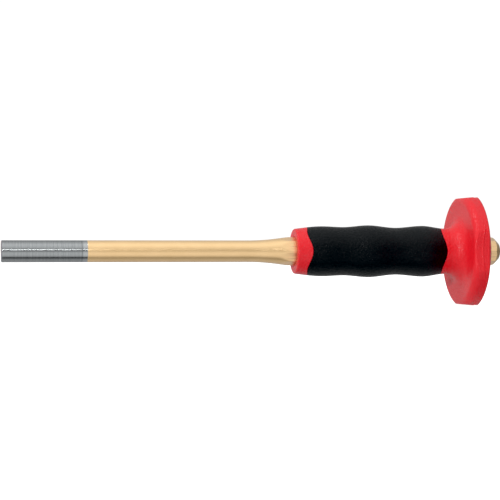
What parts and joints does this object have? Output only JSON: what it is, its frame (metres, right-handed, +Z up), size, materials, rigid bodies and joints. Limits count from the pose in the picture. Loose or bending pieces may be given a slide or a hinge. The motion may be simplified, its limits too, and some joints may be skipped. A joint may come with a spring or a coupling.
{
  "type": "pin punch",
  "caption": "Parallel pin punch with a round flat tip, turned from an octagonal steel bar, with a two-material hand-guard grip around the struck end.",
  "frame": {"origin": "centre of the flat tip face", "axes": "+X along the tool's axis from the tip towards the struck head, +Z up through one of the guard's anti-roll flats"},
  "size_m": [0.3, 0.0652, 0.0652],
  "materials": {
    "lacquered_steel": "satin gold lacquer over steel, with the working tip left as bare ground grey steel",
    "red_plastic": "hard moulded plastic with a fine spark-eroded texture",
    "black_rubber": "soft moulded sleeve with a fine matt grain"
  },
  "bodies": {
    "root": {"punch_bar": "lacquered_steel", "grip_core": "red_plastic", "grip_sleeve": "black_rubber"}
  },
  "joints": []
}
